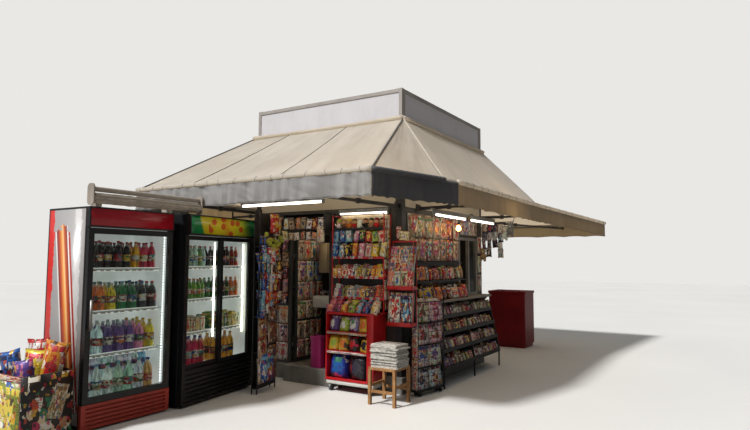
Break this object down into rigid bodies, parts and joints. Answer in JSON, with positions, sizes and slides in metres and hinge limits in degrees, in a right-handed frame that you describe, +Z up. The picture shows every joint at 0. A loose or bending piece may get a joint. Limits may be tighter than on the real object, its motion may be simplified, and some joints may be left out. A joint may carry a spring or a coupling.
{
  "type": "street kiosk",
  "caption": "Street kiosk cabin with an open door, cloth canopy on folding arms, a rooftop sign box, two drinks coolers and display racks.",
  "frame": {"origin": "centre of the plinth's underside, on the ground", "axes": "+X out of the serving side, -Y out of the doorway side, +Z up"},
  "size_m": [5.0098, 9.465, 3.759],
  "materials": {
    "aluminium": "satin anodised",
    "arm_black": "black paint",
    "black_wire": "black coated wire",
    "board": "printed carton board",
    "caster": "grey caster",
    "cloth": "weathered coated canvas",
    "concrete": "rough cast concrete",
    "cooler_black": "satin black paint",
    "cooler_white": "white liner",
    "counter": "laminate",
    "dark_cloth": "coated canvas",
    "floor": "sheet floor",
    "glass": "clear glass",
    "green": "printed sheet",
    "lamp_white": "lit tube",
    "red": "gloss red paint",
    "sign_panel": "matt panel",
    "steel_grey": "satin grey paint",
    "wall_panel": "satin panel",
    "wood": "oiled wood"
  },
  "bodies": {
    "kiosk": {"plinth": "concrete", "front_step": "concrete", "cabin_floor": "floor", "front_walls": "wall_panel", "front_wall_head": "wall_panel", "left_and_back_walls": "wall_panel", "serving_wall_sill": "wall_panel", "serving_wall_sides": "wall_panel", "serving_wall_head": "wall_panel", "corner_posts": "steel_grey", "roof_deck": "wall_panel", "serving_window_frame": "aluminium", "serving_window_glass": "glass", "serving_counter": "counter", "door_hinges": "steel_grey", "sign_frame": "aluminium", "sign_panels": "sign_panel", "sign_posts": "steel_grey", "head_beams": "steel_grey", "back_gable": "aluminium", "canopy_head_tubes": "cloth", "canopy_front": "cloth", "canopy_sides": "cloth", "canopy_corners": "cloth", "canopy_back": "cloth", "valances": "cloth", "valance_corners": "dark_cloth", "canopy_rails": "aluminium", "awning_arms": "arm_black", "light_battens": "cooler_white", "light_tubes": "lamp_white", "pendant_lamp": "lamp_white", "cooler_1_cabinet": "cooler_black", "cooler_1_shelves": "cooler_white", "cooler_1_grille": "red", "cooler_1_header": "red", "cooler_2_cabinet": "cooler_black", "cooler_2_shelves": "cooler_white", "cooler_2_grille": "cooler_black", "cooler_2_header": "green", "red_shelf_unit": "red", "red_cart": "red", "cart_casters": "caster", "corner_rack": "red", "magazine_rack": "black_wire", "wire_rack": "black_wire", "side_shelves": "black_wire", "freezer": "red", "snack_bin": "board", "stool": "wood", "awning_roll": "cloth"},
    "cabin_door": {"door_leaf": "arm_black"},
    "cooler_1_door": {"cooler_1_door": "cooler_black", "cooler_1_glass": "glass"},
    "cooler_2_left_door": {"cooler_2_door_left": "cooler_black", "cooler_2_glass_left": "glass"},
    "cooler_2_right_door": {"cooler_2_door_right": "cooler_black", "cooler_2_glass_right": "glass"}
  },
  "joints": [
    {"name": "cabin_door_hinge", "type": "hinge", "parent": "kiosk", "child": "cabin_door", "pos_m": [-0.535, -1.268, 1], "axis": [0, 0, -1], "range_deg": [0, 90]},
    {"name": "cooler_1_door_hinge", "type": "hinge", "parent": "kiosk", "child": "cooler_1_door", "pos_m": [-0.515, -3.356, 1], "axis": [0, 0, 1], "range_deg": [0, 90]},
    {"name": "cooler_2_left_door_slide", "type": "slide", "parent": "kiosk", "child": "cooler_2_left_door", "axis": [-0.1392, 0.9903, 0], "range_m": [0, 0.556]},
    {"name": "cooler_2_right_door_slide", "type": "slide", "parent": "kiosk", "child": "cooler_2_right_door", "axis": [0.1392, -0.9903, 0], "range_m": [0, 0.556]}
  ]
}
